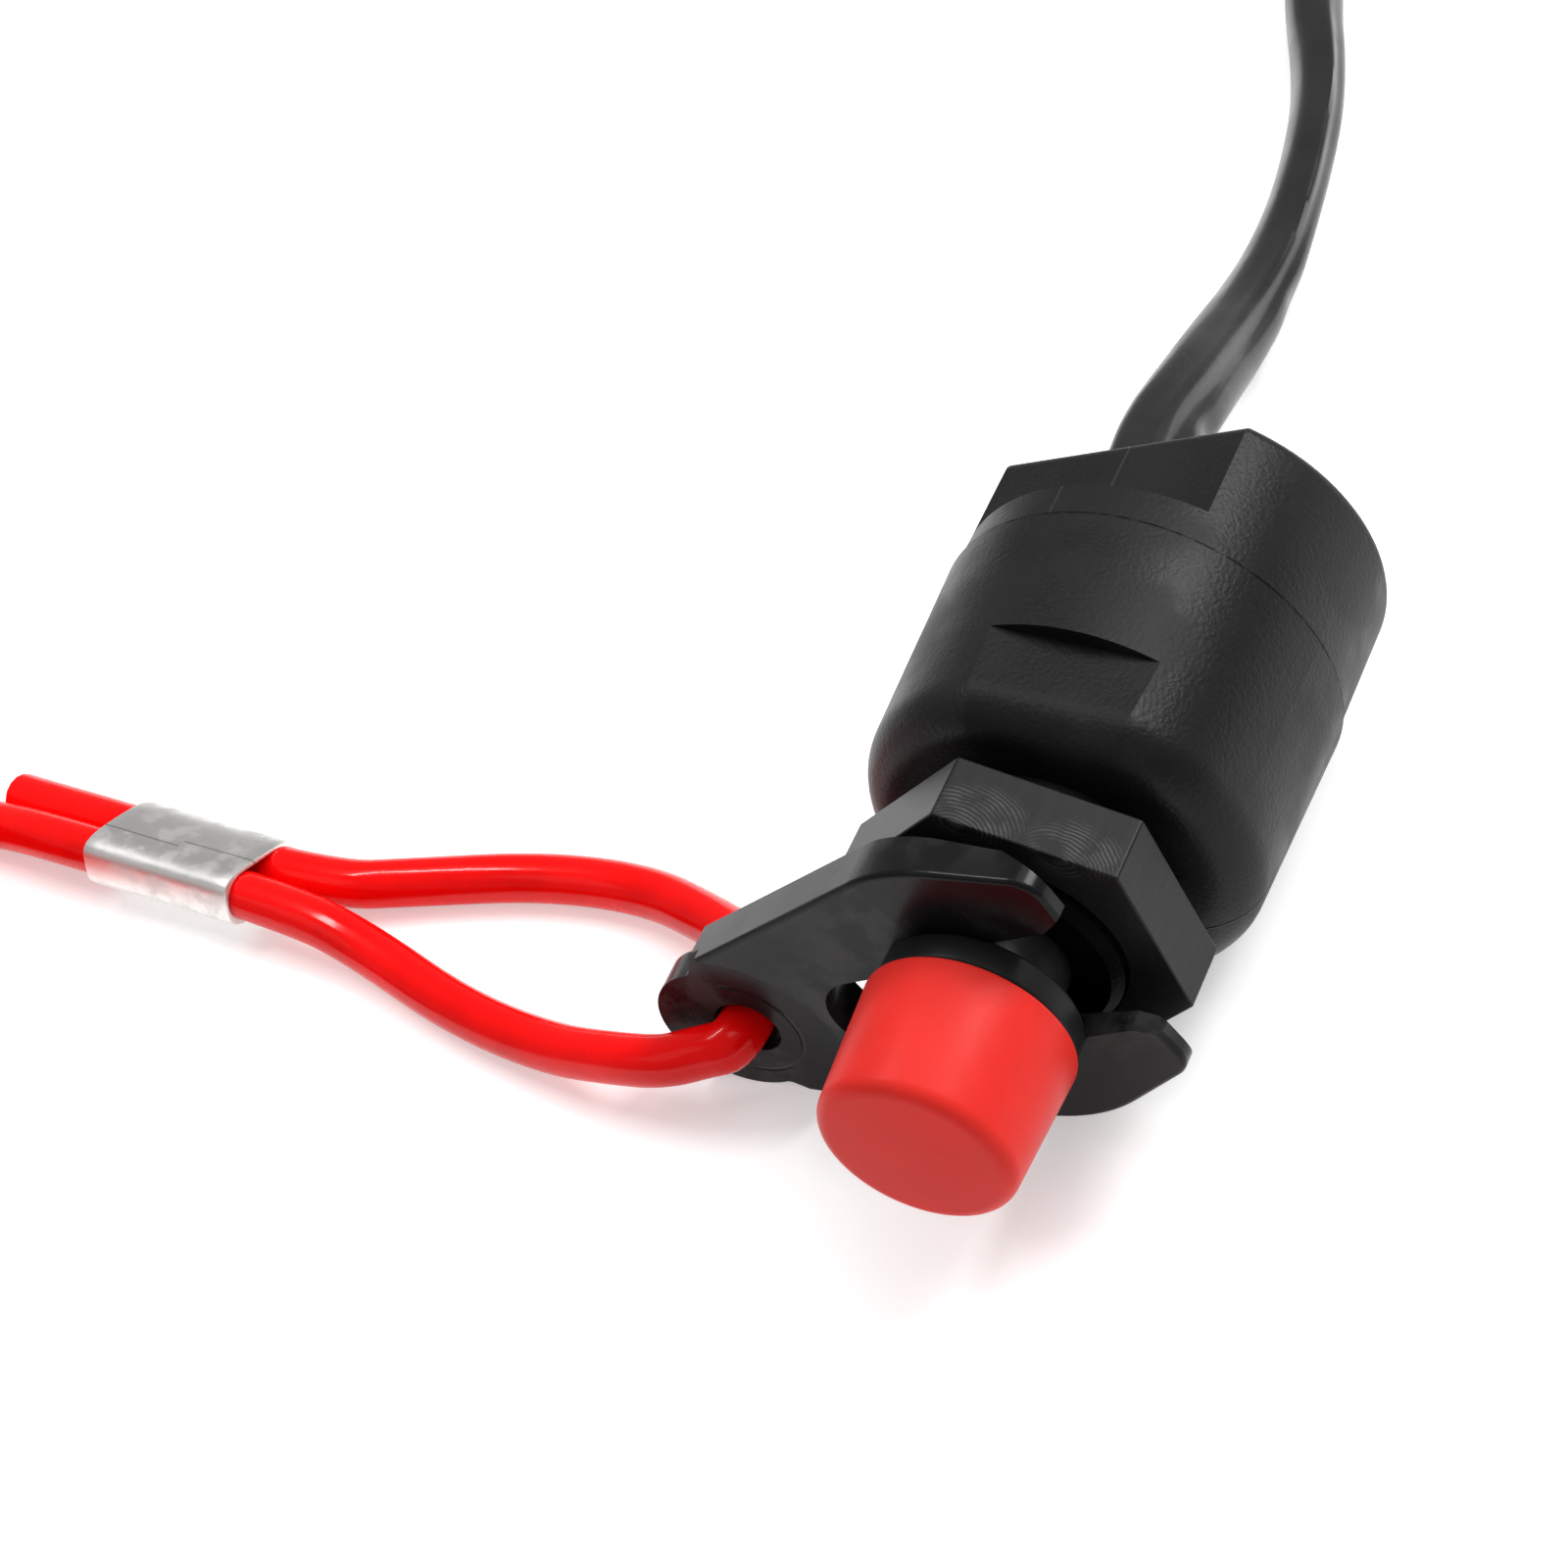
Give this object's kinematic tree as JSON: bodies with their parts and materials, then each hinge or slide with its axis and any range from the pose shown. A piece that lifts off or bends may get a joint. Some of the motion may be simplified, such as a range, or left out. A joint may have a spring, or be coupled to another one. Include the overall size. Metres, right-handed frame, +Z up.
{
  "type": "engine kill switch with lanyard",
  "caption": "Panel-mounted motorbike engine stop switch: red plunger button held out by a forked black safety clip on a red lanyard, with a hex panel nut and a black cable.",
  "frame": {"origin": "middle of the housing's panel seat, on the switch's axis", "axes": "-Y along the switch's axis out of the panel towards the button, +Y to the cable end, +Z up from the surface that the part lies on"},
  "size_m": [0.1426, 0.1947, 0.0258],
  "materials": {
    "housing_black": "fine pebbled moulding",
    "nut_black": "satin, tool marks on its flats",
    "clip_black": "glossy moulding",
    "cap_red": "semi-matte moulding",
    "collar_dark": "glossy",
    "plunger_plastic": "smooth",
    "carrier_plastic": "smooth",
    "contact_brass": "bright",
    "spring_steel": "bright wire",
    "rubber_black": "matte",
    "lanyard_red": "glossy coated cord",
    "crimp_metal": "satin",
    "hook_steel": "satin",
    "cable_black": "glossy sheath",
    "lead_black": "glossy insulation",
    "lead_red": "glossy insulation",
    "plug_black": "satin moulding"
  },
  "bodies": {
    "switch": {"front_housing": "housing_black", "rear_cover": "housing_black", "cable_grommet": "rubber_black", "panel_nut": "nut_black", "contact_carrier": "carrier_plastic", "fixed_contact_left": "contact_brass", "fixed_contact_right": "contact_brass", "return_spring": "spring_steel", "stem_seal": "rubber_black", "lead_left": "lead_black", "lead_right": "lead_red", "cable": "cable_black", "cable_coil": "cable_black", "cable_tail": "cable_black", "plug_boot": "rubber_black", "plug_housing": "plug_black", "plug_socket_left": "contact_brass", "plug_socket_right": "contact_brass"},
    "button": {"plunger": "plunger_plastic", "button_collar": "collar_dark", "button_cap": "cap_red", "contact_bridge": "contact_brass", "bridge_ring": "spring_steel"},
    "clip": {"safety_clip": "clip_black", "crimp_sleeve": "crimp_metal", "lanyard_cord": "lanyard_red", "lanyard_return": "lanyard_red", "lanyard_coil": "lanyard_red", "lanyard_tail": "lanyard_red", "snap_hook": "hook_steel", "gate_pin": "hook_steel"},
    "gate": {"hook_gate": "hook_steel"}
  },
  "joints": [
    {"name": "clip_slide", "type": "slide", "parent": "switch", "child": "clip", "axis": [-0.9255, 0.1093, -0.3627], "range_m": [0, 0.018]},
    {"name": "button_slide", "type": "slide", "parent": "switch", "child": "button", "axis": [0, 1, 0], "range_m": [0, 0.00197], "deforming": ["return_spring"]},
    {"name": "gate_hinge", "type": "hinge", "parent": "clip", "child": "gate", "pos_m": [-0.11524, 0.02297, -0.0101], "axis": [0, 0, -1], "range_deg": [0, 25], "stiffness_Nm_per_rad": 0.002, "springref_deg": -17.19}
  ],
  "couplings": [
    {"joint": "button_slide", "follows": "clip_slide", "ratio": 0.10934}
  ]
}
